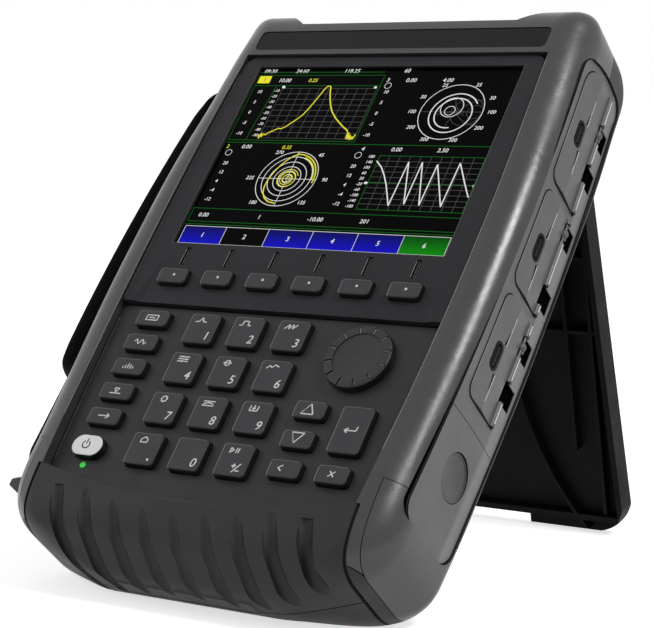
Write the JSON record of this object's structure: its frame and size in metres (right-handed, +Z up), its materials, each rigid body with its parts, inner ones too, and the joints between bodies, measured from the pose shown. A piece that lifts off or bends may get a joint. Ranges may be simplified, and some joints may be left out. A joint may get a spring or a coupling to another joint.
{
  "type": "handheld antenna analyzer",
  "caption": "Handheld antenna analyzer leaning back on its opened kickstand, with a display, soft keys, keypad, tuning knob, side port doors and a hand strap.",
  "frame": {"origin": "middle of the flat that the rubber boot rests on, on the surface that the analyzer stands on", "axes": "+Z up, -Y toward the user in front of the leaning display, +X to the user's right"},
  "size_m": [0.2035, 0.2364, 0.2323],
  "materials": {
    "guard_rubber": "matt soft rubber",
    "front_plastic": "fine matt grain",
    "side_plastic": "fine matt grain",
    "rear_plastic": "matt black",
    "key_rubber": "matt black rubber",
    "power_cap": "white",
    "window": "dark clear",
    "screen": "lit display panel",
    "strip_gloss": "glossy black",
    "light_green": "green, translucent",
    "steel": "brushed",
    "port_steel": "turned",
    "shield": "satin",
    "mat_rubber": "soft silicone",
    "pack_plastic": "matt",
    "strap_fabric": "black woven webbing",
    "lug_plastic": "black"
  },
  "bodies": {
    "case": {"bottom_boot": "guard_rubber", "corner_guards": "guard_rubber", "guard_frame": "guard_rubber", "rear_housing": "rear_plastic", "housing_screws": "steel", "front_housing": "front_plastic", "display_bezel": "front_plastic", "display_window": "window", "display_module": "screen", "name_strip": "strip_gloss", "keypad_panel": "front_plastic", "status_light": "light_green", "key_mat": "mat_rubber", "knob_encoder": "shield", "right_side_panel": "side_plastic", "left_side_panel": "side_plastic", "battery_pack": "pack_plastic", "main_board": "shield", "port_wall": "front_plastic", "test_ports": "port_steel", "side_sockets": "steel", "hand_strap": "strap_fabric", "strap_anchors": "lug_plastic", "hinge_pins": "steel"},
    "port_door_1": {"port_door_1": "side_plastic"},
    "port_door_2": {"port_door_2": "side_plastic"},
    "port_door_3": {"port_door_3": "side_plastic"},
    "battery_door": {"battery_door": "side_plastic"},
    "battery_latch": {"battery_latch": "side_plastic"},
    "kickstand": {"kickstand": "rear_plastic"},
    "tuning_knob": {"tuning_knob": "key_rubber"},
    "number_key_1": {"number_key_1": "key_rubber"},
    "number_key_2": {"number_key_2": "key_rubber"},
    "number_key_3": {"number_key_3": "key_rubber"},
    "number_key_4": {"number_key_4": "key_rubber"},
    "number_key_5": {"number_key_5": "key_rubber"},
    "number_key_6": {"number_key_6": "key_rubber"},
    "number_key_7": {"number_key_7": "key_rubber"},
    "number_key_8": {"number_key_8": "key_rubber"},
    "number_key_9": {"number_key_9": "key_rubber"},
    "number_key_point": {"number_key_point": "key_rubber"},
    "number_key_0": {"number_key_0": "key_rubber"},
    "number_key_sign": {"number_key_sign": "key_rubber"},
    "function_key_1": {"function_key_1": "key_rubber"},
    "function_key_2": {"function_key_2": "key_rubber"},
    "function_key_3": {"function_key_3": "key_rubber"},
    "function_key_4": {"function_key_4": "key_rubber"},
    "function_key_5": {"function_key_5": "key_rubber"},
    "up_key": {"up_key": "key_rubber"},
    "down_key": {"down_key": "key_rubber"},
    "back_key": {"back_key": "key_rubber"},
    "escape_key": {"escape_key": "key_rubber"},
    "enter_key": {"enter_key": "key_rubber"},
    "power_button": {"power_button": "power_cap"},
    "soft_key_1": {"soft_key_1": "key_rubber"},
    "soft_key_2": {"soft_key_2": "key_rubber"},
    "soft_key_3": {"soft_key_3": "key_rubber"},
    "soft_key_4": {"soft_key_4": "key_rubber"},
    "soft_key_5": {"soft_key_5": "key_rubber"},
    "soft_key_6": {"soft_key_6": "key_rubber"}
  },
  "joints": [
    {"name": "port_door_1_hinge", "type": "hinge", "parent": "case", "child": "port_door_1", "pos_m": [0.08955, 0.13939, 0.17269], "axis": [-0.0423, 0.6568, 0.7529], "range_deg": [0, 115]},
    {"name": "port_door_2_hinge", "type": "hinge", "parent": "case", "child": "port_door_2", "pos_m": [0.09128, 0.1008, 0.12846], "axis": [-0.0167, 0.6573, 0.7535], "range_deg": [0, 115]},
    {"name": "port_door_3_hinge", "type": "hinge", "parent": "case", "child": "port_door_3", "pos_m": [0.09156, 0.06642, 0.08905], "axis": [0.0061, 0.6574, 0.7535], "range_deg": [0, 115]},
    {"name": "battery_door_slide", "type": "slide", "parent": "case", "child": "battery_door", "axis": [1, 0, 0], "range_m": [0, 0.03]},
    {"name": "battery_latch_press", "type": "slide", "parent": "battery_door", "child": "battery_latch", "axis": [1, 0, 0], "range_m": [-0.0012, 0], "stiffness_N_per_m": 600, "springref_m": 0.0005},
    {"name": "kickstand_hinge", "type": "hinge", "parent": "case", "child": "kickstand", "pos_m": [0, 0.16323, 0.16915], "axis": [1, 0, 0], "range_deg": [-54, 0]},
    {"name": "tuning_knob_turn", "type": "hinge", "parent": "case", "child": "tuning_knob", "pos_m": [0.0474, 0.02735, 0.09553], "axis": [0, -0.7536, 0.6574], "continuous": true},
    {"name": "number_key_1_press", "type": "slide", "parent": "case", "child": "number_key_1", "axis": [0, -0.7536, 0.6574], "range_m": [-0.0012, 0], "stiffness_N_per_m": 400, "springref_m": 0.0004},
    {"name": "number_key_2_press", "type": "slide", "parent": "case", "child": "number_key_2", "axis": [0, -0.7536, 0.6574], "range_m": [-0.0012, 0], "stiffness_N_per_m": 400, "springref_m": 0.0004},
    {"name": "number_key_3_press", "type": "slide", "parent": "case", "child": "number_key_3", "axis": [0, -0.7536, 0.6574], "range_m": [-0.0012, 0], "stiffness_N_per_m": 400, "springref_m": 0.0004},
    {"name": "number_key_4_press", "type": "slide", "parent": "case", "child": "number_key_4", "axis": [0, -0.7536, 0.6574], "range_m": [-0.0012, 0], "stiffness_N_per_m": 400, "springref_m": 0.0004},
    {"name": "number_key_5_press", "type": "slide", "parent": "case", "child": "number_key_5", "axis": [0, -0.7536, 0.6574], "range_m": [-0.0012, 0], "stiffness_N_per_m": 400, "springref_m": 0.0004},
    {"name": "number_key_6_press", "type": "slide", "parent": "case", "child": "number_key_6", "axis": [0, -0.7536, 0.6574], "range_m": [-0.0012, 0], "stiffness_N_per_m": 400, "springref_m": 0.0004},
    {"name": "number_key_7_press", "type": "slide", "parent": "case", "child": "number_key_7", "axis": [0, -0.7536, 0.6574], "range_m": [-0.0012, 0], "stiffness_N_per_m": 400, "springref_m": 0.0004},
    {"name": "number_key_8_press", "type": "slide", "parent": "case", "child": "number_key_8", "axis": [0, -0.7536, 0.6574], "range_m": [-0.0012, 0], "stiffness_N_per_m": 400, "springref_m": 0.0004},
    {"name": "number_key_9_press", "type": "slide", "parent": "case", "child": "number_key_9", "axis": [0, -0.7536, 0.6574], "range_m": [-0.0012, 0], "stiffness_N_per_m": 400, "springref_m": 0.0004},
    {"name": "number_key_point_press", "type": "slide", "parent": "case", "child": "number_key_point", "axis": [0, -0.7536, 0.6574], "range_m": [-0.0012, 0], "stiffness_N_per_m": 400, "springref_m": 0.0004},
    {"name": "number_key_0_press", "type": "slide", "parent": "case", "child": "number_key_0", "axis": [0, -0.7536, 0.6574], "range_m": [-0.0012, 0], "stiffness_N_per_m": 400, "springref_m": 0.0004},
    {"name": "number_key_sign_press", "type": "slide", "parent": "case", "child": "number_key_sign", "axis": [0, -0.7536, 0.6574], "range_m": [-0.0012, 0], "stiffness_N_per_m": 400, "springref_m": 0.0004},
    {"name": "function_key_1_press", "type": "slide", "parent": "case", "child": "function_key_1", "axis": [0, -0.7536, 0.6574], "range_m": [-0.0012, 0], "stiffness_N_per_m": 400, "springref_m": 0.0004},
    {"name": "function_key_2_press", "type": "slide", "parent": "case", "child": "function_key_2", "axis": [0, -0.7536, 0.6574], "range_m": [-0.0012, 0], "stiffness_N_per_m": 400, "springref_m": 0.0004},
    {"name": "function_key_3_press", "type": "slide", "parent": "case", "child": "function_key_3", "axis": [0, -0.7536, 0.6574], "range_m": [-0.0012, 0], "stiffness_N_per_m": 400, "springref_m": 0.0004},
    {"name": "function_key_4_press", "type": "slide", "parent": "case", "child": "function_key_4", "axis": [0, -0.7536, 0.6574], "range_m": [-0.0012, 0], "stiffness_N_per_m": 400, "springref_m": 0.0004},
    {"name": "function_key_5_press", "type": "slide", "parent": "case", "child": "function_key_5", "axis": [0, -0.7536, 0.6574], "range_m": [-0.0012, 0], "stiffness_N_per_m": 400, "springref_m": 0.0004},
    {"name": "up_key_press", "type": "slide", "parent": "case", "child": "up_key", "axis": [0, -0.7536, 0.6574], "range_m": [-0.0012, 0], "stiffness_N_per_m": 400, "springref_m": 0.0004},
    {"name": "down_key_press", "type": "slide", "parent": "case", "child": "down_key", "axis": [0, -0.7536, 0.6574], "range_m": [-0.0012, 0], "stiffness_N_per_m": 400, "springref_m": 0.0004},
    {"name": "back_key_press", "type": "slide", "parent": "case", "child": "back_key", "axis": [0, -0.7536, 0.6574], "range_m": [-0.0012, 0], "stiffness_N_per_m": 400, "springref_m": 0.0004},
    {"name": "escape_key_press", "type": "slide", "parent": "case", "child": "escape_key", "axis": [0, -0.7536, 0.6574], "range_m": [-0.0012, 0], "stiffness_N_per_m": 400, "springref_m": 0.0004},
    {"name": "enter_key_press", "type": "slide", "parent": "case", "child": "enter_key", "axis": [0, -0.7536, 0.6574], "range_m": [-0.0012, 0], "stiffness_N_per_m": 400, "springref_m": 0.0004},
    {"name": "power_button_press", "type": "slide", "parent": "case", "child": "power_button", "axis": [0, -0.7536, 0.6574], "range_m": [-0.0012, 0], "stiffness_N_per_m": 400, "springref_m": 0.0004},
    {"name": "soft_key_1_press", "type": "slide", "parent": "case", "child": "soft_key_1", "axis": [0, -0.7536, 0.6574], "range_m": [-0.0012, 0], "stiffness_N_per_m": 400, "springref_m": 0.0004},
    {"name": "soft_key_2_press", "type": "slide", "parent": "case", "child": "soft_key_2", "axis": [0, -0.7536, 0.6574], "range_m": [-0.0012, 0], "stiffness_N_per_m": 400, "springref_m": 0.0004},
    {"name": "soft_key_3_press", "type": "slide", "parent": "case", "child": "soft_key_3", "axis": [0, -0.7536, 0.6574], "range_m": [-0.0012, 0], "stiffness_N_per_m": 400, "springref_m": 0.0004},
    {"name": "soft_key_4_press", "type": "slide", "parent": "case", "child": "soft_key_4", "axis": [0, -0.7536, 0.6574], "range_m": [-0.0012, 0], "stiffness_N_per_m": 400, "springref_m": 0.0004},
    {"name": "soft_key_5_press", "type": "slide", "parent": "case", "child": "soft_key_5", "axis": [0, -0.7536, 0.6574], "range_m": [-0.0012, 0], "stiffness_N_per_m": 400, "springref_m": 0.0004},
    {"name": "soft_key_6_press", "type": "slide", "parent": "case", "child": "soft_key_6", "axis": [0, -0.7536, 0.6574], "range_m": [-0.0012, 0], "stiffness_N_per_m": 400, "springref_m": 0.0004}
  ]
}
